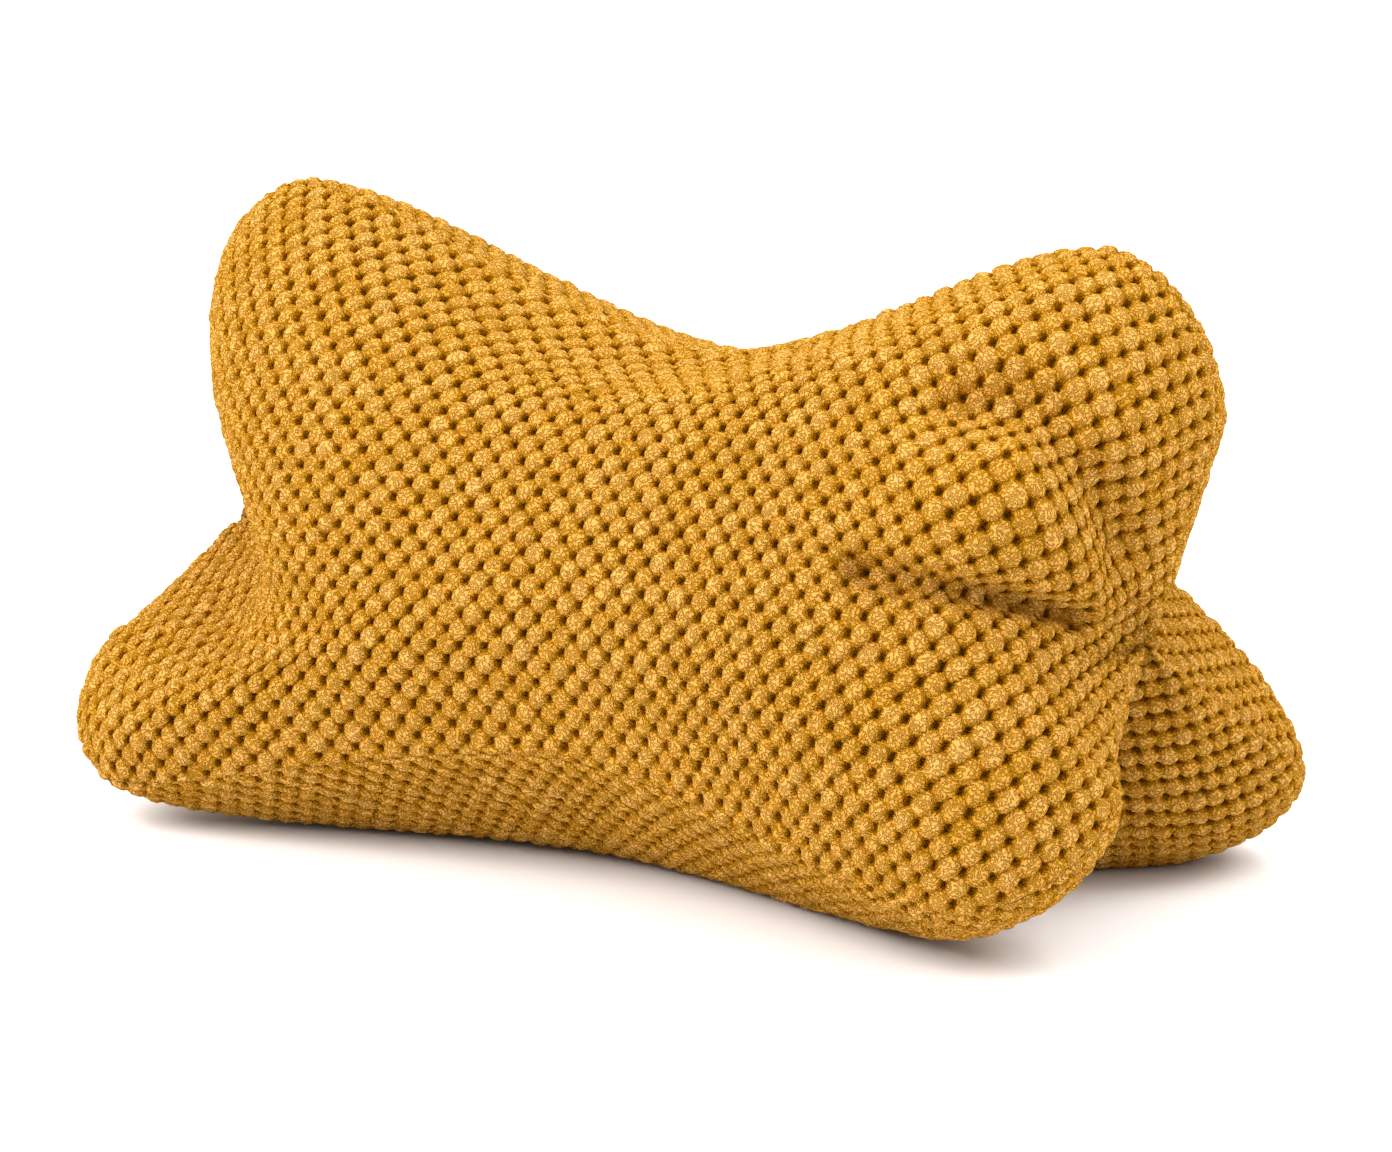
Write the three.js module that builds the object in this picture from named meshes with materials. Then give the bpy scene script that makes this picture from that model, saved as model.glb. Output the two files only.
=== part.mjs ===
import * as THREE from 'three';

// Reading pillow: a bone-shaped cushion of bobbled cloth, sewn from three alike panels and stuffed.
// Millimetres, +Z up, +X along the pillow, -Y its front. It lies on its bottom panel with one seam on top.

// Cloth
const CLOTH_COLOUR = 0xc2872d;
const CLOTH_ROUGHNESS = 0.95;

// Mesh steps: rings from pole to pole, points from a seam to the middle of a panel, and points along a fold
const RINGS = 60;
const HALF_STEPS = 12;
const FOLD_STEPS = 40;

// The floor presses the pillow flat where it touches
const FLOOR = 0;

// The long axis, and the poles at its ends where the three seams meet
const AXIS_HEIGHT = 111;
const POLES = {
  left: new THREE.Vector3(-207, -3, 111),
  right: new THREE.Vector3(206, 2, 109),
};

// Lobes, one row for each seam at each end. The seam runs round a stuffed bulb.
//   along, out  the bulb's centre, from the middle and from the long axis
//   turn        its angle round the axis: 0 is the rear, 90 is up and 180 is the front
//   bulb        radius of the seam's run round the bulb
//   heel        how far the seam bulges outwards beside the pole
//   girth       fullness of the cloth beside the seam, on the panels that show
//   under       the same on the bottom panel
const LOBES = {
  left: {
    top: { along: 159, out: 100, turn: 96, bulb: 47, heel: 0, girth: 57, under: 0 },
    front: { along: 188, out: 103, turn: 219, bulb: 40, heel: 12, girth: 45, under: 47 },
    rear: { along: 184, out: 112, turn: 321, bulb: 47, heel: 8, girth: 60, under: 55 },
  },
  right: {
    top: { along: 176, out: 99, turn: 87, bulb: 46, heel: 23, girth: 79, under: 0 },
    front: { along: 172, out: 90, turn: 217, bulb: 49, heel: 14, girth: 60, under: 50 },
    rear: { along: 194, out: 118, turn: 323, bulb: 37, heel: 16, girth: 32, under: 56 },
  },
};

// Waist of each seam, midway between its two lobes
const WAISTS = {
  top: { along: 15, out: 92, turn: 91, girth: 66 },
  front: { along: 3, out: 110, turn: 210, girth: 50 },
  rear: { along: 0, out: 108, turn: 330, girth: 74 },
};

// Creases, one row for each panel at each end. A panel's middle dips between two lobes.
//   along, out            the deep point of the crease, near the pole
//   mouthAlong, mouthOut  where the crease runs out into the panel
//   lean                  turn from midway between the two lobes
//   open                  roundness of the dip at its deep point
//   fold                  steepness of its sides, in degrees
const CREASES = {
  left: {
    front: { along: 162, out: 46, mouthAlong: 117, mouthOut: 101, lean: 23, open: 26, fold: 30 },
    bottom: { along: 173, out: 47, mouthAlong: 118, mouthOut: 96, lean: 0, open: 19, fold: 40 },
    back: { along: 173, out: 47, mouthAlong: 124, mouthOut: 88, lean: 0, open: 21, fold: 45 },
  },
  right: {
    front: { along: 184, out: 80, mouthAlong: 142, mouthOut: 108, lean: 8, open: 36, fold: 15 },
    bottom: { along: 173, out: 47, mouthAlong: 118, mouthOut: 102, lean: -1, open: 19, fold: 40 },
    back: { along: 173, out: 50, mouthAlong: 124, mouthOut: 92, lean: 0, open: 21, fold: 45 },
  },
};

// Crown of each panel, at the middle of its length and width
const CROWNS = {
  front: { along: 0, out: 108, turn: 151, open: 56 },
  bottom: { along: -3, out: 114, turn: 270, open: 50 },
  back: { along: 0, out: 90, turn: 389, open: 56 },
};

// Soft folds and puffs in the cloth, one row each, along a line on a panel.
//   line   points of the line: place from pole to pole, and share of the way across from seam to seam
//   depth  how far the line is pressed in. Below zero the stuffing puffs it out instead.
//   width  distance from the line at which little of this is left
const FOLDS = [
  { panel: 'front', line: [[0.7, 0.25], [0.78, 0.21], [0.85, 0.21], [0.93, 0.2]], depth: 12, width: 24 },
  { panel: 'front', line: [[0.7, 0.5], [0.78, 0.5], [0.85, 0.5], [0.92, 0.5]], depth: 11, width: 12 },
  { panel: 'front', line: [[0.78, 0.39], [0.85, 0.38], [0.91, 0.38]], depth: -14, width: 46 },
  { panel: 'front', line: [[0.18, 0.63], [0.31, 0.63], [0.36, 0.66]], depth: 5, width: 24 },
  { panel: 'back', line: [[0.1, 0.7], [0.2, 0.76], [0.28, 0.74]], depth: 7, width: 26 },
  { panel: 'back', line: [[0.74, 0.5], [0.68, 0.52]], depth: 5, width: 22 },
];

// The seams draw the cloth in by this angle on both sides
const SEAM_PINCH = 14;

// Places along the pillow, from 0 at the left pole to 1 at the right, where a seam is set round a bulb,
// with its angle there, and its shares of the lobe's heel and girth
const BULB_PLACES = [0.1, 0.17, 0.24, 0.31, 0.375];
const BULB_ANGLES = [-58, -14, 30, 74, 112];
const BULB_HEEL = [1, 0.35, 0, 0, 0];
const BULB_GIRTH = [0.8, 1, 1, 1, 1];
const WAIST_PLACE = 0.5;

// Places where a panel's middle is set: pole, crease, mouth, crown, mouth, crease and pole.
// At its mouth a crease is this round, and its sides have only a share of their steepness left.
const CREASE_PLACES = [0, 0.13, 0.29, WAIST_PLACE, 0.71, 0.87, 1];
const MOUTH_OPEN = 38;
const MOUTH_FOLD = 0.15;

// Panels, each from one seam to the next as the turn runs on
const PANELS = [
  { name: 'front', from: 'top', to: 'front', fullness: 'girth' },
  { name: 'bottom', from: 'front', to: 'rear', fullness: 'under' },
  { name: 'back', from: 'rear', to: 'top', fullness: 'girth' },
];
const ENDS = [
  { name: 'left', sign: -1 },
  { name: 'right', sign: 1 },
];
const AXIS_X = new THREE.Vector3(1, 0, 0);

const radians = THREE.MathUtils.degToRad;

// Unit vector away from the axis at a turn in degrees, and the one a quarter turn on from it
const outward = (turn) => new THREE.Vector3(0, Math.cos(radians(turn)), Math.sin(radians(turn)));
const onward = (turn) => new THREE.Vector3(0, -Math.sin(radians(turn)), Math.cos(radians(turn)));

function axisPoint(along, out, turn) {
  return outward(turn).multiplyScalar(out).add(new THREE.Vector3(along, 0, AXIS_HEIGHT));
}

// Smooth track through a value at each place, with its slope there taken from both neighbours
function makeTrack(places, values) {
  const last = values.length - 1;
  const gaps = places.slice(1).map((place, i) => place - places[i]);
  const rises = gaps.map((gap, i) => (values[i + 1] - values[i]) / gap);
  const slopes = new Array(values.length);
  for (let i = 1; i < last; i++) {
    slopes[i] = (rises[i - 1] * gaps[i] + rises[i] * gaps[i - 1]) / (gaps[i] + gaps[i - 1]);
  }
  slopes[0] = 2 * rises[0] - slopes[1];
  slopes[last] = 2 * rises[last - 1] - slopes[last - 1];
  return (place) => {
    let i = 0;
    while (i < last - 1 && place >= places[i + 1]) i++;
    const t = (place - places[i]) / gaps[i];
    const s = 1 - t;
    const ends = values[i] * (1 + 2 * t) * s * s + values[i + 1] * (1 + 2 * s) * t * t;
    return ends + gaps[i] * s * t * (slopes[i] * s - slopes[i + 1] * t);
  };
}

function makePath(places, points) {
  const tracks = ['x', 'y', 'z'].map((side) => makeTrack(places, points.map((point) => point[side])));
  return (place) => new THREE.Vector3(...tracks.map((track) => track(place)));
}

// Direction of a path at a place
function headingOf(path, place) {
  const step = 1 / RINGS;
  const before = path(Math.max(place - step, 0));
  return path(Math.min(place + step, 1)).sub(before).normalize();
}

// Away from the pillow, square to a path that runs at the given turn
function faceOf(path, place, turn) {
  const out = outward(turn);
  const heading = headingOf(path, place);
  return out.clone().multiplyScalar(heading.x).addScaledVector(AXIS_X, -heading.dot(out)).normalize();
}

// A row of values from pole to pole: pole, left lobe, waist, right lobe, pole
const poleToPole = (left, middle, right) => [...left, middle, ...right.toReversed()];

function makeSeam(name) {
  const waist = WAISTS[name];
  const lobeRows = ENDS.map(({ name: end, sign }) => {
    const lobe = LOBES[end][name];
    const centre = axisPoint(sign * lobe.along, lobe.out, lobe.turn);
    const bulbPoints = BULB_ANGLES.map((angle, i) => {
      const reach = lobe.bulb * Math.cos(radians(angle)) + lobe.heel * BULB_HEEL[i];
      const rise = lobe.bulb * Math.sin(radians(angle));
      return centre.clone().addScaledVector(AXIS_X, sign * reach).addScaledVector(outward(lobe.turn), rise);
    });
    return {
      points: [POLES[end], ...bulbPoints],
      turns: [0, ...BULB_GIRTH].map(() => lobe.turn),
      girth: [0, ...BULB_GIRTH.map((share) => share * lobe.girth)],
      under: [0, ...BULB_GIRTH.map((share) => share * lobe.under)],
    };
  });
  const [left, right] = lobeRows;
  const leftPlaces = [0, ...BULB_PLACES];
  const places = poleToPole(leftPlaces, WAIST_PLACE, leftPlaces.map((place) => 1 - place));
  const rowOf = (key, middle) => poleToPole(left[key], middle, right[key]);
  return {
    path: makePath(places, rowOf('points', axisPoint(waist.along, waist.out, waist.turn))),
    turn: makeTrack(places, rowOf('turns', waist.turn)),
    girth: makeTrack(places, rowOf('girth', waist.girth)),
    under: makeTrack(places, rowOf('under', waist.girth)),
  };
}

function makeCrease({ name, from, to }) {
  const crown = CROWNS[name];
  const [left, right] = ENDS.map(({ name: end, sign }) => {
    const crease = CREASES[end][name];
    const turnFrom = LOBES[end][from].turn;
    const turnTo = LOBES[end][to].turn;
    const turn = (turnFrom + turnTo + (turnTo < turnFrom ? 360 : 0)) / 2 + crease.lean;
    return {
      points: [
        POLES[end],
        axisPoint(sign * crease.along, crease.out, turn),
        axisPoint(sign * crease.mouthAlong, crease.mouthOut, turn),
      ],
      turns: [turn, turn, turn],
      open: [0, crease.open, MOUTH_OPEN],
      fold: [crease.fold, crease.fold, crease.fold * MOUTH_FOLD],
    };
  });
  const rowOf = (key, middle) => poleToPole(left[key], middle, right[key]);
  return {
    path: makePath(CREASE_PLACES, rowOf('points', axisPoint(crown.along, crown.out, crown.turn))),
    turn: makeTrack(CREASE_PLACES, rowOf('turns', crown.turn)),
    open: makeTrack(CREASE_PLACES, rowOf('open', crown.open)),
    fold: makeTrack(CREASE_PLACES, rowOf('fold', 0)),
  };
}

// Half of a panel's cross curve, from a seam to the panel's middle. side is 1 or -1, as the turn runs on.
function halfCurve(seam, crease, fullness, place, side) {
  const seamPoint = seam.path(place);
  const seamTurn = seam.turn(place);
  const leave = onward(seamTurn).multiplyScalar(side * Math.cos(radians(SEAM_PINCH)));
  leave.addScaledVector(faceOf(seam.path, place, seamTurn), -Math.sin(radians(SEAM_PINCH)));
  const middlePoint = crease.path(place);
  const middleTurn = crease.turn(place);
  const fold = radians(crease.fold(place));
  const arrive = onward(middleTurn).multiplyScalar(-side * Math.cos(fold));
  arrive.addScaledVector(faceOf(crease.path, place, middleTurn), Math.sin(fold));
  return new THREE.CubicBezierCurve3(
    seamPoint,
    seamPoint.clone().addScaledVector(leave, Math.max(seam[fullness](place), 0)),
    middlePoint.clone().addScaledVector(arrive, Math.max(crease.open(place), 0)),
    middlePoint,
  );
}

const seams = Object.fromEntries(Object.keys(WAISTS).map((name) => [name, makeSeam(name)]));
const creases = Object.fromEntries(PANELS.map((panel) => [panel.name, makeCrease(panel)]));

// Point of a panel at a place along it and a share of the way from its first seam to its second
function panelPoint({ name, from, to, fullness }, place, share) {
  if (share < 0.5) return halfCurve(seams[from], creases[name], fullness, place, 1).getPoint(2 * share);
  return halfCurve(seams[to], creases[name], fullness, place, -1).getPoint(2 - 2 * share);
}

// Points along each fold, on its panel
const foldLines = FOLDS.map(({ panel: name, line }) => {
  const panel = PANELS.find((row) => row.name === name);
  const curve = new THREE.SplineCurve(line.map(([place, share]) => new THREE.Vector2(place, share)));
  return curve.getPoints(FOLD_STEPS).map((spot) => panelPoint(panel, spot.x, spot.y));
});

// How far the folds and puffs of a panel move a point of it inwards
function foldDepth(panelName, point) {
  let depth = 0;
  FOLDS.forEach((fold, k) => {
    if (fold.panel !== panelName) return;
    const distance = Math.min(...foldLines[k].map((spot) => spot.distanceTo(point)));
    depth += fold.depth * Math.exp(-2 * (distance / fold.width) ** 2);
  });
  return depth;
}

// Closed skin over rings of points round the pillow, with a fan of triangles at each pole
function makeSkin() {
  const panelSteps = 2 * HALF_STEPS;
  const around = PANELS.length * panelSteps;
  const points = [POLES.left];
  for (let i = 1; i < RINGS; i++) {
    for (const panel of PANELS) {
      for (let j = 0; j < panelSteps; j++) points.push(panelPoint(panel, i / RINGS, j / panelSteps));
    }
  }
  points.push(POLES.right);
  const lastPole = points.length - 1;
  const index = (ring, step) => 1 + (ring - 1) * around + (step % around);
  const triangles = [];
  for (let j = 0; j < around; j++) {
    triangles.push(0, index(1, j + 1), index(1, j));
    triangles.push(lastPole, index(RINGS - 1, j), index(RINGS - 1, j + 1));
    for (let i = 1; i < RINGS - 1; i++) {
      triangles.push(index(i, j), index(i, j + 1), index(i + 1, j + 1));
      triangles.push(index(i, j), index(i + 1, j + 1), index(i + 1, j));
    }
  }
  const skin = new THREE.BufferGeometry().setFromPoints(points);
  skin.setIndex(triangles);
  skin.computeVertexNormals();
  const normals = skin.getAttribute('normal');
  const panelOf = (i) => PANELS[Math.floor(((i - 1) % around) / panelSteps)];
  for (let i = 1; i < lastPole; i++) {
    const inward = new THREE.Vector3().fromBufferAttribute(normals, i).negate();
    points[i].addScaledVector(inward, foldDepth(panelOf(i).name, points[i]));
    points[i].z = Math.max(points[i].z, FLOOR);
  }
  return skin.setFromPoints(points);
}

// The origin is on the floor, below the middle of the pillow's box
const skin = makeSkin();
skin.computeBoundingBox();
const middle = skin.boundingBox.getCenter(new THREE.Vector3());
skin.translate(-middle.x, -middle.y, -skin.boundingBox.min.z);
skin.computeVertexNormals();

const cloth = new THREE.MeshStandardMaterial({
  color: CLOTH_COLOUR,
  roughness: CLOTH_ROUGHNESS,
  metalness: 0,
});
const pillow = new THREE.Mesh(skin, cloth);
pillow.name = 'pillow';

const readingPillow = new THREE.Group();
readingPillow.add(pillow);

export default readingPillow;
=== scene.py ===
# %% [markdown]
# # A bone-shaped reading pillow in bobble chenille
#
# The pillow is sewn from three alike panels and stuffed hard, so that six round lobes stand out from a
# drawn-in waist. Its cloth is a chenille with round tufts, or bobbles, in staggered rows. This lesson
# dresses the plain solid of the pillow: first the camera, then the skin, the flat panels, the chenille
# finish, the bobbles, the stuffed body, and last the floor and the light.

# %% The frame
from collections import namedtuple

import bpy
import numpy as np
from mathutils import Matrix, Vector


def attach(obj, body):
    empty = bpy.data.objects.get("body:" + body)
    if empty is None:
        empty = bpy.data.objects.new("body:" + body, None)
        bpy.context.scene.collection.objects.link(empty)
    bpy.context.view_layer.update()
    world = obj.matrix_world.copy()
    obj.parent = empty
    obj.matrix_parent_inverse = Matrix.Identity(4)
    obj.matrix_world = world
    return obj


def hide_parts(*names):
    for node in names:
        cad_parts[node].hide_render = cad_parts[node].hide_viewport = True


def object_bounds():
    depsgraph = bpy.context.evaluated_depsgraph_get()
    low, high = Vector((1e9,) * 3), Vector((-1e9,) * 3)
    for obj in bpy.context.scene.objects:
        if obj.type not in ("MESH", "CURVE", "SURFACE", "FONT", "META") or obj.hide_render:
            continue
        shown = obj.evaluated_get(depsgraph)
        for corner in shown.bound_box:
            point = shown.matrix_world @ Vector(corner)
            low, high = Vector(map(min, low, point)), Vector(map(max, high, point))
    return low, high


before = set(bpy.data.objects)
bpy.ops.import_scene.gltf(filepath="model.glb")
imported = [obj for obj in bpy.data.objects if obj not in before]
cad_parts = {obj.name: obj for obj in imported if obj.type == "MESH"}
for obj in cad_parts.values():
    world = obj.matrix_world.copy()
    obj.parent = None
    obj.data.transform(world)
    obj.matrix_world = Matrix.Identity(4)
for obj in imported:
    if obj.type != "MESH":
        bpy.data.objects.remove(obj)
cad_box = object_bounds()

print("solid box in metres:", [round(high - low, 4) for low, high in zip(*cad_box)])

# %% [markdown]
# ## Camera
#
# The picture was taken with a long lens from the right of the front panel and a little above it. A long
# lens keeps the far lobes nearly as large as the near ones. The camera is built from its angle and
# distance, rather than placed by eye.

# %% Camera
PICTURE_WIDTH = 1392
FOCAL_PIXELS = 4156
SENSOR_WIDTH = 36.0
VIEW_AZIMUTH = np.radians(30.0)
VIEW_ELEVATION = np.radians(13.0)
VIEW_ROLL = np.radians(0.7)
VIEW_DISTANCE = 1.645
VIEW_TARGET = Vector((0.0098, -0.0040, 0.1108))


def add_camera():
    """Camera that looks at the target from an azimuth, counted from the front, and an elevation."""
    away = Vector((
        np.sin(VIEW_AZIMUTH) * np.cos(VIEW_ELEVATION),
        -np.cos(VIEW_AZIMUTH) * np.cos(VIEW_ELEVATION),
        np.sin(VIEW_ELEVATION),
    ))
    level = Vector((np.cos(VIEW_AZIMUTH), np.sin(VIEW_AZIMUTH), 0))
    upright = away.cross(level)
    right = level * np.cos(VIEW_ROLL) + upright * np.sin(VIEW_ROLL)
    up = upright * np.cos(VIEW_ROLL) - level * np.sin(VIEW_ROLL)
    lens = bpy.data.cameras.new("camera")
    lens.sensor_width = SENSOR_WIDTH
    lens.lens = SENSOR_WIDTH * FOCAL_PIXELS / PICTURE_WIDTH
    camera = bpy.data.objects.new("camera", lens)
    turn = Matrix((right, up, away)).transposed().to_4x4()
    camera.matrix_world = Matrix.Translation(VIEW_TARGET + away * VIEW_DISTANCE) @ turn
    bpy.context.collection.objects.link(camera)
    bpy.context.scene.camera = camera
    return camera


camera = add_camera()
print("lens in millimetres:", round(camera.data.lens, 1))

# %% [markdown]
# ## The stuffed skin
#
# Three seams run from pole to pole, and each lobe is a place where a seam swings round a bulb of
# stuffing. The cloth between two seams is a cross curve: it leaves one seam, crowns over the stuffing
# and dips into a crease between the lobes. Cloth simulation is the usual way to puff up such a cover. It
# was not tried here: the skin is worked out from curves, which stay smooth at any fineness and tell
# where on a panel a point lies, as the rows of bobbles need. The solid was made from the same sizes,
# repeated here in metres and degrees. Most of them were found by a program fitting the outline in the
# photo, and they were rounded. Only the first two folds differ from the solid's: they are narrower and
# up to 2 mm deeper here.

# %% Sizes of the skin
Lobe = namedtuple("Lobe", "along out turn bulb heel girth under")
Waist = namedtuple("Waist", "along out turn girth")
Crease = namedtuple("Crease", "along out mouth_along mouth_out lean open fold")
Crown = namedtuple("Crown", "along out turn open")
Fold = namedtuple("Fold", "panel line depth width")
Panel = namedtuple("Panel", "name first second fullness")

AXIS_HEIGHT = 0.111
POLES = {-1: (-0.207, -0.003, 0.111), 1: (0.206, 0.002, 0.109)}
LOBES = {
    (-1, "top"): Lobe(0.159, 0.100, 96, 0.047, 0.000, 0.057, 0.000),
    (-1, "front"): Lobe(0.188, 0.103, 219, 0.040, 0.012, 0.045, 0.047),
    (-1, "rear"): Lobe(0.184, 0.112, 321, 0.047, 0.008, 0.060, 0.055),
    (1, "top"): Lobe(0.176, 0.099, 87, 0.046, 0.023, 0.079, 0.000),
    (1, "front"): Lobe(0.172, 0.090, 217, 0.049, 0.014, 0.060, 0.050),
    (1, "rear"): Lobe(0.194, 0.118, 323, 0.037, 0.016, 0.032, 0.056),
}
WAISTS = {
    "top": Waist(0.015, 0.092, 91, 0.066),
    "front": Waist(0.003, 0.110, 210, 0.050),
    "rear": Waist(0.000, 0.108, 330, 0.074),
}
CREASES = {
    (-1, "front"): Crease(0.162, 0.046, 0.117, 0.101, 23, 0.026, 30),
    (-1, "bottom"): Crease(0.173, 0.047, 0.118, 0.096, 0, 0.019, 40),
    (-1, "back"): Crease(0.173, 0.047, 0.124, 0.088, 0, 0.021, 45),
    (1, "front"): Crease(0.184, 0.080, 0.142, 0.108, 8, 0.036, 15),
    (1, "bottom"): Crease(0.173, 0.047, 0.118, 0.102, -1, 0.019, 40),
    (1, "back"): Crease(0.173, 0.050, 0.124, 0.092, 0, 0.021, 45),
}
CROWNS = {
    "front": Crown(0.000, 0.108, 151, 0.056),
    "bottom": Crown(-0.003, 0.114, 270, 0.050),
    "back": Crown(0.000, 0.090, 389, 0.056),
}
FOLDS = [
    Fold("front", [(0.70, 0.25), (0.78, 0.21), (0.85, 0.21), (0.93, 0.20)], 0.014, 0.019),
    Fold("front", [(0.70, 0.50), (0.78, 0.50), (0.85, 0.50), (0.92, 0.50)], 0.012, 0.009),
    Fold("front", [(0.78, 0.39), (0.85, 0.38), (0.91, 0.38)], -0.014, 0.046),
    Fold("front", [(0.18, 0.63), (0.31, 0.63), (0.36, 0.66)], 0.005, 0.024),
    Fold("back", [(0.10, 0.70), (0.20, 0.76), (0.28, 0.74)], 0.007, 0.026),
    Fold("back", [(0.74, 0.50), (0.68, 0.52)], 0.005, 0.022),
]
PANELS = [
    Panel("front", "top", "front", "girth"),
    Panel("bottom", "front", "rear", "under"),
    Panel("back", "rear", "top", "girth"),
]
SEAM_PINCH = np.radians(14)
BULB_PLACES = np.array([0.1, 0.17, 0.24, 0.31, 0.375])
BULB_ANGLES = np.radians([-58, -14, 30, 74, 112])
BULB_HEEL = np.array([1, 0.35, 0, 0, 0])
BULB_GIRTH = np.array([0.8, 1, 1, 1, 1])
CREASE_PLACES = np.array([0, 0.13, 0.29, 0.5, 0.71, 0.87, 1])
MOUTH_OPEN = 0.038
MOUTH_FOLD = 0.15
ALONG = np.array([1.0, 0.0, 0.0])
print("lobes:", len(LOBES), "panels:", len(PANELS), "soft folds and puffs:", len(FOLDS))

# %% Curves of the skin
def outward(turn):
    """Unit vectors away from the long axis at a turn in radians."""
    return np.stack([np.zeros_like(turn), np.cos(turn), np.sin(turn)], axis=-1)


def onward(turn):
    """Unit vectors a quarter turn on from outward."""
    return np.stack([np.zeros_like(turn), -np.sin(turn), np.cos(turn)], axis=-1)


def axis_point(along, out, turn):
    return np.array([along, 0.0, AXIS_HEIGHT]) + out * outward(np.radians(turn))


def track(places, values, at):
    """Smooth values at the wanted places, through one value at each given place."""
    places, values = np.asarray(places, float), np.asarray(values, float)
    gaps = np.diff(places)
    gaps = gaps.reshape(-1, *[1] * (values.ndim - 1))
    rises = np.diff(values, axis=0) / gaps
    slopes = np.empty_like(values)
    slopes[1:-1] = (rises[:-1] * gaps[1:] + rises[1:] * gaps[:-1]) / (gaps[1:] + gaps[:-1])
    slopes[0] = 2 * rises[0] - slopes[1]
    slopes[-1] = 2 * rises[-1] - slopes[-2]
    i = np.clip(np.searchsorted(places, at, side="right") - 1, 0, len(gaps) - 1)
    gap = gaps[i]
    t = (at - places[i]).reshape(gap.shape) / gap
    s = 1 - t
    ends = values[i] * (1 + 2 * t) * s * s + values[i + 1] * (1 + 2 * s) * t * t
    return ends + gap * s * t * (slopes[i] * s - slopes[i + 1] * t)


def pole_to_pole(left, middle, right):
    """One row of values from the left pole to the right one, each end given from its pole inwards."""
    return np.array([*left, middle, *right[::-1]])


def seam_rows(name):
    """Places, points, turns and fullnesses that set one seam."""
    ends = {}
    for sign in (-1, 1):
        lobe = LOBES[sign, name]
        reach = lobe.bulb * np.cos(BULB_ANGLES) + lobe.heel * BULB_HEEL
        rise = lobe.bulb * np.sin(BULB_ANGLES)
        centre = axis_point(sign * lobe.along, lobe.out, lobe.turn)
        points = centre + sign * reach[:, None] * ALONG + rise[:, None] * outward(np.radians(lobe.turn))
        ends[sign] = {
            "path": [np.array(POLES[sign]), *points],
            "turn": [np.radians(lobe.turn)] * (len(points) + 1),
            "girth": [0, *BULB_GIRTH * lobe.girth],
            "under": [0, *BULB_GIRTH * lobe.under],
        }
    waist = WAISTS[name]
    middles = {
        "path": axis_point(waist.along, waist.out, waist.turn),
        "turn": np.radians(waist.turn),
        "girth": waist.girth,
        "under": waist.girth,
    }
    near = [0, *BULB_PLACES]
    rows = {key: pole_to_pole(ends[-1][key], middles[key], ends[1][key]) for key in middles}
    return pole_to_pole(near, 0.5, [1 - place for place in near]), rows


def crease_rows(panel):
    """Points, turns, roundness and steepness that set the middle line of one panel."""
    ends = {}
    for sign in (-1, 1):
        crease = CREASES[sign, panel.name]
        turns = [LOBES[sign, panel.first].turn, LOBES[sign, panel.second].turn]
        turn = (sum(turns) + (360 if turns[1] < turns[0] else 0)) / 2 + crease.lean
        deep = axis_point(sign * crease.along, crease.out, turn)
        mouth = axis_point(sign * crease.mouth_along, crease.mouth_out, turn)
        ends[sign] = {
            "path": [np.array(POLES[sign]), deep, mouth],
            "turn": [np.radians(turn)] * 3,
            "open": [0, crease.open, MOUTH_OPEN],
            "fold": list(np.radians(crease.fold) * np.array([1, 1, MOUTH_FOLD])),
        }
    crown = CROWNS[panel.name]
    middles = {
        "path": axis_point(crown.along, crown.out, crown.turn),
        "turn": np.radians(crown.turn),
        "open": crown.open,
        "fold": 0,
    }
    return CREASE_PLACES, {key: pole_to_pole(ends[-1][key], middles[key], ends[1][key]) for key in middles}


seams = {name: seam_rows(name) for name in WAISTS}
creases = {panel.name: crease_rows(panel) for panel in PANELS}
print("seam points:", {name: len(rows[0]) for name, rows in seams.items()})

# %% Points and normals of the skin
HEADING_STEP = 1 / 60
FOLD_SAMPLES = 41
SKIN_STEP = (0.004, 0.008)
MEASURE_RINGS = 60
MEASURE_STEPS = 24


def unit(vectors):
    return vectors / np.maximum(np.linalg.norm(vectors, axis=-1, keepdims=True), 1e-9)


def face_of(places, path, at, turn):
    """Away from the pillow, square to a path."""
    before, after = np.maximum(at - HEADING_STEP, 0), np.minimum(at + HEADING_STEP, 1)
    heading = unit(track(places, path, after) - track(places, path, before))
    out = outward(turn)
    tilt = np.sum(heading * out, axis=-1, keepdims=True)
    return unit(out * heading[:, :1] - tilt * ALONG)


def half_panel(seam, crease, fullness, place, part, side):
    """Points of a half panel, part of the way from its seam, 0, to its middle, 1."""
    seam_places, seam_row = seams[seam]
    crease_places, crease_row = creases[crease]
    edge = track(seam_places, seam_row["path"], place)
    edge_turn = track(seam_places, seam_row["turn"], place)
    reach = np.maximum(track(seam_places, seam_row[fullness], place), 0)[:, None]
    face = face_of(seam_places, seam_row["path"], place, edge_turn)
    leave = side * np.cos(SEAM_PINCH) * onward(edge_turn) - np.sin(SEAM_PINCH) * face
    middle = track(crease_places, crease_row["path"], place)
    middle_turn = track(crease_places, crease_row["turn"], place)
    fold = track(crease_places, crease_row["fold"], place)[:, None]
    opened = np.maximum(track(crease_places, crease_row["open"], place), 0)[:, None]
    dip = face_of(crease_places, crease_row["path"], place, middle_turn)
    arrive = -side * np.cos(fold) * onward(middle_turn) + np.sin(fold) * dip
    t = part[:, None]
    s = 1 - t
    return (
        s**3 * edge
        + 3 * s * s * t * (edge + reach * leave)
        + 3 * s * t * t * (middle + opened * arrive)
        + t**3 * middle
    )


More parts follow.
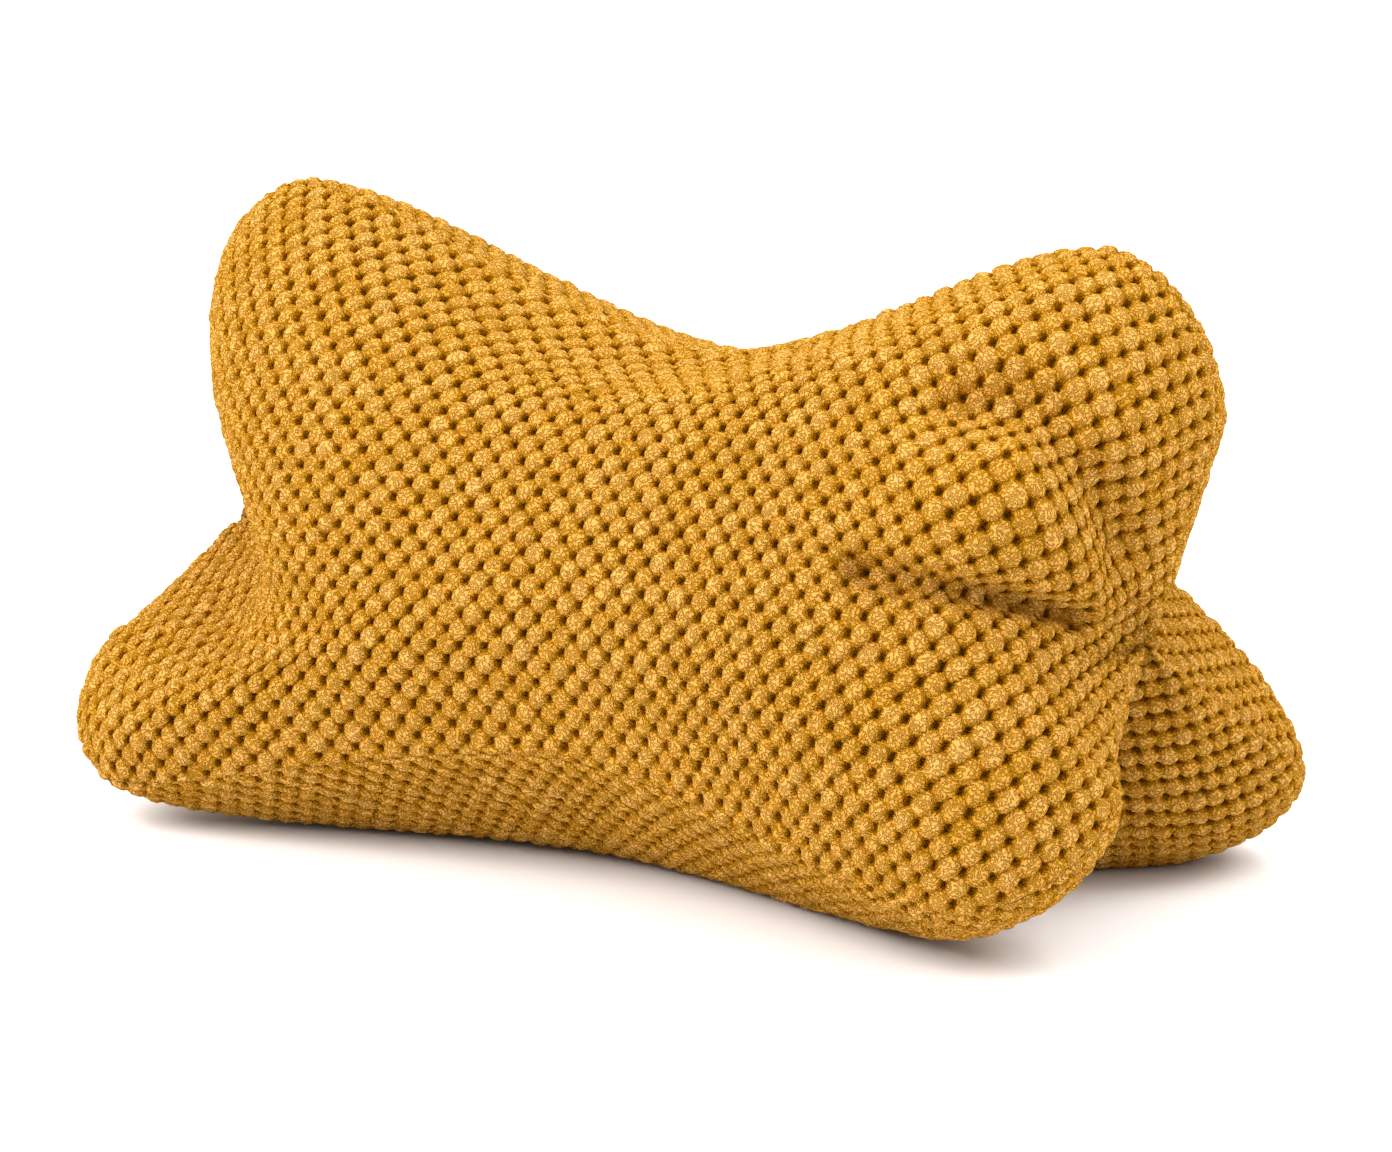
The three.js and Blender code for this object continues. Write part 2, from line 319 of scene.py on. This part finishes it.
def smooth_skin(panel, place, share):
    """Points of a panel before its folds, at places from pole to pole and shares from seam to seam."""
    near = half_panel(panel.first, panel.name, panel.fullness, place, np.minimum(2 * share, 1), 1)
    far = half_panel(panel.second, panel.name, panel.fullness, place, np.minimum(2 - 2 * share, 1), -1)
    return np.where(share[:, None] < 0.5, near, far)


def skin_normals(panel, place, share):
    step_place, step_share = SKIN_STEP
    place = np.clip(place, step_place, 1 - step_place)
    share = np.clip(share, step_share, 1 - step_share)
    ahead = smooth_skin(panel, place + step_place, share) - smooth_skin(panel, place - step_place, share)
    across = smooth_skin(panel, place, share + step_share) - smooth_skin(panel, place, share - step_share)
    return unit(np.cross(across, ahead))


def fold_lines():
    """Points along each fold or puff, on its panel."""
    lines = []
    for fold in FOLDS:
        panel = next(row for row in PANELS if row.name == fold.panel)
        spots = np.array(fold.line)
        at = np.linspace(0, 1, FOLD_SAMPLES)
        spots = track(np.linspace(0, 1, len(spots)), spots, at) if len(spots) > 2 else (
            spots[0] + at[:, None] * (spots[1] - spots[0]))
        lines.append(smooth_skin(panel, spots[:, 0], spots[:, 1]))
    return lines


FOLD_LINES = fold_lines()


def skin(panel, place, share):
    """Points and normals of the stuffed skin, with its folds and puffs, pressed flat on the floor."""
    points = smooth_skin(panel, place, share)
    normals = skin_normals(panel, place, share)
    depth = np.zeros(len(points))
    for fold, line in zip(FOLDS, FOLD_LINES):
        if fold.panel == panel.name:
            distance = np.linalg.norm(points[:, None] - line[None], axis=-1).min(axis=1)
            depth += fold.depth * np.exp(-2 * (distance / fold.width) ** 2)
    points = points - depth[:, None] * normals
    points[:, 2] = np.maximum(points[:, 2], 0)
    return points, normals


def grid_of(rings, steps):
    """Place and share of each point of a panel's grid, both poles left out."""
    place, share = np.meshgrid(np.arange(1, rings) / rings, np.arange(steps + 1) / steps, indexing="ij")
    return place.ravel(), share.ravel()


everything = np.concatenate([skin(panel, *grid_of(MEASURE_RINGS, MEASURE_STEPS))[0] for panel in PANELS])
skin_middle = (everything.min(axis=0) + everything.max(axis=0)) / 2
box_middle = (np.array(cad_box[0]) + np.array(cad_box[1])) / 2
TO_FRAME = np.array([box_middle[0] - skin_middle[0], box_middle[1] - skin_middle[1], 0.0])
print("shift to the frame in millimetres:", np.round(TO_FRAME * 1000, 2))

# %% [markdown]
# ## Cutting the panels
#
# On the real pillow the rows of bobbles are straight on the flat cloth and bend only because the panel
# is pulled over the stuffing. Rows drawn straight on the stuffed form would miss that. So each panel is
# laid flat again: Blender's unwrap does for a mesh what unpicking the seams does for cloth, and its
# minimum stretch method keeps lengths as true as it can. The rows are then laid out on the flat panel
# and carried back to the form.

# %% Flat panels
FLAT_RINGS = 72
FLAT_STEPS = 36
Flat = namedtuple("Flat", "panel spread")


def panel_faces(rings, steps):
    """Faces of a panel's grid with its two poles as the first and the last point."""
    index = 1 + np.arange((rings - 1) * (steps + 1)).reshape(rings - 1, steps + 1)
    last = (rings - 1) * (steps + 1) + 1
    faces = [(0, index[0, j + 1], index[0, j]) for j in range(steps)]
    for i in range(rings - 2):
        for j in range(steps):
            faces.append((index[i, j], index[i, j + 1], index[i + 1, j + 1]))
            faces.append((index[i, j], index[i + 1, j + 1], index[i + 1, j]))
    faces += [(last, index[-1, j], index[-1, j + 1]) for j in range(steps)]
    return [tuple(int(k) for k in face) for face in faces]


def lay_flat(panel):
    """Flattens one panel, true to size, with the line between its poles along the first direction."""
    place, share = grid_of(FLAT_RINGS, FLAT_STEPS)
    points, _ = skin(panel, place, share)
    points = np.concatenate([[POLES[-1]], points, [POLES[1]]]) + TO_FRAME
    faces = panel_faces(FLAT_RINGS, FLAT_STEPS)
    mesh = bpy.data.meshes.new("flat_panel")
    mesh.from_pydata(points.tolist(), [], faces)
    cloth = bpy.data.objects.new("flat_panel", mesh)
    bpy.context.collection.objects.link(cloth)
    bpy.context.view_layer.objects.active = cloth
    cloth.select_set(True)
    bpy.ops.object.mode_set(mode="EDIT")
    bpy.ops.mesh.select_all(action="SELECT")
    bpy.ops.uv.unwrap(method="MINIMUM_STRETCH", fill_holes=False)
    bpy.ops.object.mode_set(mode="OBJECT")
    corners = np.zeros(len(mesh.loops), int)
    mesh.loops.foreach_get("vertex_index", corners)
    spread = np.zeros(2 * len(mesh.loops))
    mesh.uv_layers.active.uv.foreach_get("vector", spread)
    flat = np.zeros((len(points), 2))
    flat[corners] = spread.reshape(-1, 2)
    bpy.data.objects.remove(cloth)
    bpy.data.meshes.remove(mesh)
    edges = np.array([(a, b) for a, b, _ in faces])
    real = np.linalg.norm(points[edges[:, 0]] - points[edges[:, 1]], axis=1)
    drawn = np.linalg.norm(flat[edges[:, 0]] - flat[edges[:, 1]], axis=1)
    run = unit((flat[-1] - flat[0])[None])[0]
    flat = (flat - flat.mean(axis=0)) @ np.array([[run[0], -run[1]], [run[1], run[0]]])
    flat *= real.sum() / drawn.sum()
    stretch = real / np.maximum(drawn * real.sum() / drawn.sum(), 1e-9)
    size = flat.max(axis=0) - flat.min(axis=0)
    print(panel.name, "panel, flat:", np.round(size * 1000), "mm, stretch from", np.round(
        np.quantile(stretch, [0.02, 0.5, 0.98]), 2))
    return Flat(panel, flat)


flats = {panel.name: lay_flat(panel) for panel in PANELS}

# %% [markdown]
# ## Chenille
#
# Chenille is a pile of short cut fibres. Close up it shows pale curls parted by thin dark lines, with
# finer specks among them, and it pales where the pile is seen from the side. Modelled fibres would be
# far too many, so two noises do it: the curls lie where the first is away from its middle value, and the
# second gives the specks. Both go into the colour and the bump. The dark pits are worked out from the row
# and column numbers kept on the points, and they are painted shade over the colour of the darker backing
# cloth. The darker foot of each bobble comes from the height of the pile and is painted shade too, which
# leaves the tops lighter. Each bobble has a tone of its own. Sheen pales the rims. Sums on the shader's
# values are written as plain Python: a small class wraps a socket and adds the Math nodes.

# %% Finish helpers
class Shade:
    """A socket that carries one value over a surface."""

    def __init__(self, finish, socket):
        self.finish = finish
        self.socket = socket

    def __add__(self, other):
        return self.finish.math("ADD", self, other)

    def __sub__(self, other):
        return self.finish.math("SUBTRACT", self, other)

    def __mul__(self, other):
        return self.finish.math("MULTIPLY", self, other)

    def __rsub__(self, other):
        return self.finish.math("SUBTRACT", other, self)

    __radd__ = __add__
    __rmul__ = __mul__


class Finish:
    """A material with one Principled surface."""

    def __init__(self, name, colour, roughness):
        self.material = bpy.data.materials.new(name)
        self.material.use_nodes = True
        self.material.diffuse_color = colour
        self.tree = self.material.node_tree
        self.surface = self.tree.nodes["Principled BSDF"]
        self.shape("Base Color", colour)
        self.shape("Roughness", roughness)

    def shape(self, name, value):
        """Sets or links one socket of the surface."""
        self.give(self.surface.inputs[name], value)

    def give(self, socket, value):
        if isinstance(value, Shade):
            self.tree.links.new(value.socket, socket)
        else:
            socket.default_value = value

    def node(self, kind, settings, sockets, out=0):
        """Adds a node, its settings first and then its sockets, and gives one of its outputs."""
        made = self.tree.nodes.new(kind)
        for name, value in settings.items():
            if name == "stops":
                set_stops(made.color_ramp, value)
            else:
                setattr(made, name, value)
        for name, value in sockets.items():
            self.give(made.inputs[name], value)
        return Shade(self, made.outputs[out])

    def math(self, operation, *values, clamp=False):
        """One Math node. With clamp, what comes out is kept from 0 to 1."""
        settings = {"operation": operation, "use_clamp": clamp}
        return self.node("ShaderNodeMath", settings, dict(enumerate(values)))

    def noise(self, where, scale, detail):
        return self.node("ShaderNodeTexNoise", {}, {"Vector": where, "Scale": scale, "Detail": detail})

    def kept(self, name):
        """A value kept on the points of a piece."""
        return self.node("ShaderNodeAttribute", {"attribute_name": name}, {}, "Fac")

    def ramp(self, value, stops):
        return self.node("ShaderNodeValToRGB", {"stops": stops}, {"Fac": value}, "Color")

    def bump(self, height, strength, distance):
        return self.node("ShaderNodeBump", {}, {"Height": height, "Strength": strength, "Distance": distance})


def set_stops(ramp, stops):
    """Places and colours of a ramp's stops."""
    for place, colour in stops[1:-1]:
        ramp.elements.new(place).color = colour
    for element, (place, colour) in ((ramp.elements[0], stops[0]), (ramp.elements[-1], stops[-1])):
        element.position = place
        element.color = colour


# %% Chenille pile
# The ramp runs from dark to light. PIT_BACKING_AND_SHADE is the backing cloth with painted shade over it, for
# the pits. DEEP carries the painted shade at the feet of the bobbles and the dark curl lines. PILE and TIP
# are the pile's own colour, lighter on the tops where the painted shade stops.
PIT_BACKING_AND_SHADE = (0.045, 0.010, 0.0, 1)
DEEP = (0.25, 0.080, 0.0, 1)
PILE = (0.49, 0.212, 0.008, 1)
TIP = (0.66, 0.344, 0.082, 1)
SHEEN_TINT = (1.0, 0.5, 0.03, 1)
CURL_SCALE = 640.0
CURL_EDGE = 11
SPECK_SCALE = 1300.0
SPECK_SHARE = 1.8
SPECK_LEVEL = 0.95
PIT_SHADE_LEVEL = 0.88
PIT_SHADE_EDGE = 1.8
# The pit and rise shares put painted shade into the pits and at the feet of the bobbles. The fibres and tone
# shares are the pile's own grain and tone.
DEPTH_SHARES = {"fibres": 0.18, "pit": 0.38, "rise": 0.36, "tone": 0.08}


def chenille_pile():
    finish = Finish("mustard_chenille", PILE, 0.95)
    where = finish.node("ShaderNodeTexCoord", {}, {}, "Object")
    apart = finish.math("ABSOLUTE", finish.noise(where, CURL_SCALE, 1.0) - 0.5)
    specks = SPECK_SHARE * finish.noise(where, SPECK_SCALE, 1.0) - SPECK_LEVEL
    fibres = finish.math("ADD", CURL_EDGE * apart, specks, clamp=True)
    # Painted shade: the pits between the bobbles of a row are darkened from the row and column numbers,
    # darker than the backing cloth alone.
    along_row = finish.math("COSINE", 2 * np.pi * finish.kept("column"))
    across_rows = finish.math("COSINE", np.pi * finish.kept("row"))
    clear_of_pit_shade = finish.math("MULTIPLY", along_row * across_rows + PIT_SHADE_LEVEL, PIT_SHADE_EDGE, clamp=True)
    # Painted shade: a low rise darkens the foot of each bobble, which leaves the tops lighter.
    depth = DEPTH_SHARES["fibres"] * fibres + DEPTH_SHARES["pit"] * clear_of_pit_shade
    depth = depth + DEPTH_SHARES["rise"] * finish.kept("rise") + DEPTH_SHARES["tone"] * finish.kept("tone")
    colour = finish.ramp(depth, [(0.14, PIT_BACKING_AND_SHADE), (0.44, DEEP), (0.74, PILE), (1.0, TIP)])
    finish.shape("Base Color", colour)
    finish.shape("Normal", finish.bump(fibres, 1.0, 0.0011))
    finish.shape("Specular IOR Level", 0.0)
    finish.shape("Sheen Weight", 0.25)
    finish.shape("Sheen Roughness", 0.4)
    finish.shape("Sheen Tint", SHEEN_TINT)
    return finish.material


chenille = chenille_pile()
print("chenille nodes:", len(chenille.node_tree.nodes))

# %% Ground weave
GROUND_DARK = (0.13, 0.045, 0.003, 1)
GROUND_LIGHT = (0.34, 0.14, 0.012, 1)
THREAD_SCALE = 800.0


def ground_finish():
    finish = Finish("ground_weave", GROUND_DARK, 0.95)
    where = finish.node("ShaderNodeTexCoord", {}, {}, "Object")
    threads = finish.noise(where, THREAD_SCALE, 3.0)
    finish.shape("Base Color", finish.ramp(threads, [(0.35, GROUND_DARK), (0.7, GROUND_LIGHT)]))
    finish.shape("Roughness", 1 - 0.1 * threads)
    finish.shape("Normal", finish.bump(threads, 0.7, 0.0006))
    finish.shape("Specular IOR Level", 0.15)
    return finish.material


ground_weave = ground_finish()
print("ground weave nodes:", len(ground_weave.node_tree.nodes))

# %% [markdown]
# ## Bobbles
#
# A bobble is a round tuft of chenille yarn. It touches its four neighbours on the slant, with a shallow
# groove between, and leaves a dark pit on either side of it in its own row. A bump map would leave the
# outline of the pillow smooth, and separate balls look like beads. So the pile is a fine sheet over each
# half panel, raised by the height of the nearest bobbles. The heights are worked out on the flat cloth.
# There the rows are straight, but the stuffing stretches, leans and arches them a little, chiefly on the
# front panel, and the tables below say how much.

# %% Rows of bobbles
Bobble = namedtuple("Bobble", "wide tall slant height")

ROW_PITCH = 0.0109
ROW_SPACING = 0.0061
BOBBLES = {
    "front": Bobble(0.0049, 0.0050, 0.1, 0.0036),
    "bottom": Bobble(0.0047, 0.0045, -0.25, 0.0036),
    "back": Bobble(0.0049, 0.0050, 0.1, 0.0034),
}
BOBBLE_FLATNESS = 3
BOBBLE_FALL = 0.55
STRETCH_PLACES = (-0.15, -0.08, 0.0, 0.085, 0.13, 0.2)
LENGTH_STRETCH = {"front": (0.90, 1.10, 1.10, 0.90, 1.00, 1.06), "bottom": (0.92,) * 6}
STRETCH_HEIGHTS = (-0.1, -0.05, 0.0, 0.06, 0.11)
WIDTH_STRETCH = {"front": (1.22, 1.12, 1.0, 1.02, 1.2)}
LEAN_PLACES = (-0.1, 0.0, 0.16)
LEAN_HEIGHT = -0.025
UPPER_LEAN = {"front": 0.08}
LOWER_LEAN = {"front": (0.0, 0.2, 0.3)}
ARCH_MIDDLE = 0.02
ROW_ARCH = {"front": 0.75}
ARCH_ONSET = 10
SUM_REACH = 0.4
SUM_SAMPLES = 801
GROOVE = 0.24
GROOVE_WIDTH = 0.35
TABLE = 128
NUDGE = 0.0002
GIRTH_SPREAD = 0.04
TALLNESS_SPREAD = 0.07
draw = np.random.default_rng(7)
nudge = draw.normal(0, NUDGE, (2, TABLE, TABLE))
girth = draw.normal(1, GIRTH_SPREAD, (TABLE, TABLE))
tallness = draw.normal(1, TALLNESS_SPREAD, (TABLE, TABLE))
shade = draw.uniform(0, 1, (TABLE, TABLE))


def summed(places, values, at):
    """Sum of values along a line from its 0, where the values are known at a few places."""
    fine = np.linspace(-SUM_REACH, SUM_REACH, SUM_SAMPLES)
    known = np.interp(fine, places, values)
    total = np.concatenate([[0], np.cumsum((known[1:] + known[:-1]) / 2 * np.diff(fine))])
    return np.interp(at, fine, total - np.interp(0, fine, total))


def to_rows(panel, x, y):
    """Column and row numbers of points on a flat panel, whose stuffing pulls the rows and columns askew."""
    stretch = LENGTH_STRETCH.get(panel.name, (1,) * len(STRETCH_PLACES))
    widths = WIDTH_STRETCH.get(panel.name, (1,) * len(STRETCH_HEIGHTS))
    lower_lean = np.interp(x, LEAN_PLACES, LOWER_LEAN.get(panel.name, (0, 0, 0)))
    onset = np.where(x > ARCH_MIDDLE, 1, np.clip(0.5 + ARCH_ONSET * y, 0, 1))
    arch = ROW_ARCH.get(panel.name, 0) * onset
    across = y + arch * (x - ARCH_MIDDLE) ** 2 / 2
    above = np.maximum(across - LEAN_HEIGHT, 0)
    below = np.minimum(across - LEAN_HEIGHT, 0)
    askew = UPPER_LEAN.get(panel.name, 0) * above + lower_lean * below
    along = summed(STRETCH_PLACES, 1 / np.array(stretch), x) - askew
    return along / ROW_PITCH, summed(STRETCH_HEIGHTS, 1 / np.array(widths), across) / ROW_SPACING


def pile_at(panel, column, row):
    """Height of the pile, from 0 in a pit to about 1 on a bobble, and tone of the nearest bobble."""
    bobble = BOBBLES[panel.name]
    heights, tones = [], []
    for near_row in (np.floor(row), np.floor(row) + 1):
        shift = 0.5 * (near_row % 2)
        near_column = np.round(column - shift)
        spot = near_row.astype(int) % TABLE, near_column.astype(int) % TABLE
        x = (column - shift - near_column) * ROW_PITCH + nudge[0][spot]
        y = (row - near_row) * ROW_SPACING + nudge[1][spot]
        x, y = x / bobble.wide, y / bobble.tall
        reach = np.sqrt(x * x + y * y - 2 * bobble.slant * x * y) / girth[spot]
        heights.append(tallness[spot] * np.maximum(1 - reach**BOBBLE_FLATNESS, 0) ** BOBBLE_FALL)
        tones.append(shade[spot])
    groove = GROOVE * np.exp(-(((heights[0] - heights[1]) / GROOVE_WIDTH) ** 2))
    return np.maximum(*heights) * (1 - groove), np.where(heights[0] > heights[1], *tones)


print("bobbles to a square decimetre:", round(0.01 / (ROW_PITCH * ROW_SPACING)))

# %% Places on the sheets
SHEET_RINGS = {"front": 336, "bottom": 272, "back": 272}
SHEET_STEPS = {"front": 288, "bottom": 224, "back": 224}
POLE_PLACE = 0.004
FINE_PLACES = 400
SAMPLE_SHARES = (0, 0.2, 0.4, 0.6, 0.8)


def even_places(sign, rings):
    """Places of one half, from pole to waist or from waist to pole, about evenly spaced along the cloth."""
    fine = np.sort(0.5 + sign * np.linspace(0, 0.5 - POLE_PLACE, FINE_PLACES))
    lines = [
        skin(panel, fine, np.full(FINE_PLACES, share))[0] for panel in PANELS for share in SAMPLE_SHARES]
    steps = np.mean([np.linalg.norm(np.diff(line, axis=0), axis=1) for line in lines], axis=0)
    length = np.concatenate([[0], np.cumsum(steps)])
    return np.interp(np.linspace(0, length[-1], rings + 1), length, fine)


def on_flat(flat, place, share):
    """Position on the flat panel and distance to its nearest seam, at places and shares."""
    inner = flat.spread[1:-1].reshape(FLAT_RINGS - 1, FLAT_STEPS + 1, 2)
    poles = [np.repeat(flat.spread[k][None, None], FLAT_STEPS + 1, axis=1) for k in (0, -1)]
    grid = np.concatenate([poles[0], inner, poles[1]])
    across = np.linalg.norm(np.diff(grid, axis=1), axis=2)
    run = np.concatenate([np.zeros((FLAT_RINGS + 1, 1)), np.cumsum(across, axis=1)], axis=1)
    edge = np.minimum(run, run[:, -1:] - run)
    grid = np.concatenate([grid, edge[..., None]], axis=2)
    i = np.minimum((place * FLAT_RINGS).astype(int), FLAT_RINGS - 1)
    j = np.minimum((share * FLAT_STEPS).astype(int), FLAT_STEPS - 1)
    s, t = (place * FLAT_RINGS - i)[:, None], (share * FLAT_STEPS - j)[:, None]
    before = grid[i, j] * (1 - t) + grid[i, j + 1] * t
    after = grid[i + 1, j] * (1 - t) + grid[i + 1, j + 1] * t
    return (before * (1 - s) + after * s).T


def seam_normals(panel, place):
    """Normals midway between the two panels, along the first and the second seam of a panel."""
    before = next(row for row in PANELS if row.second == panel.first)
    after = next(row for row in PANELS if row.first == panel.second)
    start, end = np.zeros_like(place), np.ones_like(place)
    first = unit(skin_normals(panel, place, start) + skin_normals(before, place, end))
    second = unit(skin_normals(panel, place, end) + skin_normals(after, place, start))
    return first, second


print("points across a sheet:", SHEET_STEPS, "and along it:", SHEET_RINGS)

# %% Pile sheets
PILE_FLOOR = 0.0027
SEAM_LEVEL = 0.0014
SEAM_EASE = 0.0022
FUZZ = 0.00015
BLEND = 0.004
BACK_DEPTH = 0.0048
BACK_EVERY = 8
FLOOR_GAP = 0.0002


def raised_sheet(flat, place):
    """Grids of one half panel, on top of the pile and on its back, and the values kept at its top points."""
    panel = flat.panel
    share = np.linspace(0, 1, SHEET_STEPS[panel.name] + 1)
    places, shares = [grid.ravel() for grid in np.meshgrid(place, share, indexing="ij")]
    points, normals = skin(panel, places, shares)
    x, y, edge = on_flat(flat, places, shares)
    column, row = to_rows(panel, x, y)
    pile, tone = pile_at(panel, column, row)
    ease = np.clip(edge / SEAM_EASE, 0, 1)
    blend = np.clip(edge / BLEND, 0, 1)[:, None]
    first, second = [np.repeat(rows, len(share), axis=0) for rows in seam_normals(panel, place)]
    normals = unit(blend * normals + (1 - blend) * np.where(shares[:, None] < 0.5, first, second))
    fuzz = draw.normal(0, FUZZ, len(points)) * (ease == 1)
    height = BOBBLES[panel.name].height
    level = (height * pile - PILE_FLOOR) * ease - SEAM_LEVEL * (1 - ease) + fuzz
    shape = len(place), len(share)
    top = points + level[:, None] * normals + TO_FRAME
    back = points - BACK_DEPTH * normals + TO_FRAME
    # The finish darkens the pile where rise is low, as painted shade at the foot of each bobble. At the seams
    # rise is kept at 1.
    rise = pile * ease + 1 - ease
    values = {"column": column, "row": row, "rise": rise, "tone": tone}
    return top.reshape(*shape, 3), back.reshape(*shape, 3), values


def sheet_triangles(index):
    """Two triangles for each cell of a grid of point numbers."""
    a, b, c, d = index[:-1, :-1], index[:-1, 1:], index[1:, 1:], index[1:, :-1]
    return np.concatenate([np.stack(corners, axis=-1).reshape(-1, 3) for corners in ((a, b, c), (a, c, d))])


def border(index):
    return np.concatenate([index[0, :-1], index[:-1, -1], index[-1, :0:-1], index[:0:-1, 0]])


def closed_sheet(top, back):
    """Points and triangles of a thin closed form: a fine top, a coarse back and a wall between them."""
    back = back[::BACK_EVERY, ::BACK_EVERY]
    upper = np.arange(top[..., 0].size).reshape(top.shape[:2])
    lower = upper.size + np.arange(back[..., 0].size).reshape(back.shape[:2])
    rim, hem = border(upper), border(lower)
    near = (np.arange(len(rim)) + BACK_EVERY // 2) // BACK_EVERY % len(hem)
    triangles = np.concatenate([
        sheet_triangles(upper),
        sheet_triangles(lower)[:, ::-1],
        np.stack([np.roll(rim, -1), rim, hem[near]], axis=1),
        np.stack([hem, np.roll(hem, -1), rim[BACK_EVERY // 2::BACK_EVERY]], axis=1),
    ])
    points = np.concatenate([top.reshape(-1, 3), back.reshape(-1, 3)])
    points[:, 2] = np.maximum(points[:, 2], FLOOR_GAP)
    return points, triangles


def new_piece(name, points, faces, finish):
    """Smooth mesh object that stands for the pillow's solid."""
    mesh = bpy.data.meshes.new(name)
    mesh.from_pydata(points, [], faces)
    mesh.shade_smooth()
    mesh.materials.append(finish)
    piece = bpy.data.objects.new(name, mesh)
    bpy.context.collection.objects.link(piece)
    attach(piece, "root")
    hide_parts("pillow")
    return piece


def keep_values(piece, name, values):
    """Keeps one value for each point of a piece, for its finish to read. Points past the last value get 0."""
    layer = piece.data.attributes.new(name, "FLOAT", "POINT")
    padded = np.zeros(len(piece.data.vertices), np.float32)
    padded[:len(values)] = values
    layer.data.foreach_set("value", padded)


for flat in flats.values():
    for side, sign in (("left", -1), ("right", 1)):
        top, back, values = raised_sheet(flat, even_places(sign, SHEET_RINGS[flat.panel.name]))
        piece = new_piece(f"{flat.panel.name}_{side}_pile", *closed_sheet(top, back), chenille)
        for name, row_values in values.items():
            keep_values(piece, name, row_values)
        print(piece.name, "triangles:", len(piece.data.polygons))

# %% [markdown]
# ## Stuffed body
#
# Under the pile lies the stuffed body: one closed, crowned form, flat only where it rests. It closes the
# small places that the sheets leave open at the two poles.

# %% Stuffed body
BODY_RINGS = 150
BODY_STEPS = 48
BODY_DEPTH = 0.0036


def stuffed_body(finish):
    """Closed skin under the pile."""
    place, share = grid_of(BODY_RINGS, BODY_STEPS)
    rows = []
    for panel in PANELS:
        points, normals = skin(panel, place, share)
        sunk = points - BODY_DEPTH * normals + TO_FRAME
        rows.append(sunk.reshape(BODY_RINGS - 1, BODY_STEPS + 1, 3))
    for first, second in zip(rows, rows[1:] + rows[:1]):
        shared = (first[:, -1] + second[:, 0]) / 2
        first[:, -1] = second[:, 0] = shared
    rings = np.concatenate([row[:, :-1] for row in rows], axis=1)
    poles = [np.array(POLES[sign]) + TO_FRAME - sign * BODY_DEPTH * ALONG for sign in (-1, 1)]
    points = np.concatenate([[poles[0]], rings.reshape(-1, 3), [poles[1]]])
    points[:, 2] = np.maximum(points[:, 2], FLOOR_GAP)
    index = 1 + np.arange(rings.shape[0] * rings.shape[1]).reshape(rings.shape[:2])
    following = np.roll(index, -1, axis=1)
    last = len(points) - 1
    faces = [(0, b, a) for a, b in zip(index[0], following[0])]
    faces += [(last, a, b) for a, b in zip(index[-1], following[-1])]
    for row in range(len(index) - 1):
        faces += zip(index[row], following[row], following[row + 1], index[row + 1])
    return new_piece("stuffed_body", points, [tuple(int(k) for k in face) for face in faces], finish)


body = stuffed_body(ground_weave)
print("stuffed body faces:", len(body.data.polygons))

# %% [markdown]
# ## Floor and light
#
# The pillow lies on plain white paper in soft studio light. A very wide soft box overhead gives the most
# light and makes the paper brighter than white, so that it shows shade only close to the pillow. A
# smaller one from the front left models the bobbles, and one from the right, a little behind, lightens
# the lobes and the floor there. Dim white surroundings fill the rest.

# %% Floor and light
Softbox = namedtuple("Softbox", "name place size watts")
PILLOW_MIDDLE = Vector((0, 0, 0.12))
PAPER_HALF = 9
PAPER = (0.92, 0.92, 0.92, 1)
SURROUNDINGS = 0.4
SOFTBOXES = [
    Softbox("overhead_softbox", (0, 0, 4), 18, 1200),
    Softbox("left_softbox", (-1.2, -1.9, 1.9), 1.5, 74),
    Softbox("right_softbox", (1.6, 0.6, 2.2), 1.5, 40),
]


def add_floor():
    mesh = bpy.data.meshes.new("floor")
    corners = [(PAPER_HALF * x, PAPER_HALF * y, 0) for x, y in ((-1, -1), (1, -1), (1, 1), (-1, 1))]
    mesh.from_pydata(corners, [], [(0, 1, 2, 3)])
    paper = Finish("white_paper", PAPER, roughness=0.9)
    grain = paper.node("ShaderNodeTexNoise", {}, {"Scale": 300.0, "Detail": 2.0})
    paper.shape("Normal", paper.bump(grain, 0.02, 0.0002))
    mesh.materials.append(paper.material)
    floor = bpy.data.objects.new("floor", mesh)
    bpy.context.collection.objects.link(floor)


def add_softbox(row):
    light = bpy.data.lights.new(row.name, "AREA")
    light.size = row.size
    light.energy = row.watts
    lamp = bpy.data.objects.new(row.name, light)
    lamp.location = row.place
    lamp.rotation_euler = (PILLOW_MIDDLE - Vector(row.place)).to_track_quat("-Z", "Y").to_euler()
    lamp.visible_camera = False
    bpy.context.collection.objects.link(lamp)


add_floor()
for row in SOFTBOXES:
    add_softbox(row)
world = bpy.data.worlds.new("white_surroundings")
world.use_nodes = True
backdrop = world.node_tree.nodes["Background"]
backdrop.inputs["Color"].default_value = (1, 1, 1, 1)
backdrop.inputs["Strength"].default_value = SURROUNDINGS
bpy.context.scene.world = world
bpy.context.scene.view_settings.view_transform = "Standard"
print("soft boxes:", [row.name for row in SOFTBOXES])
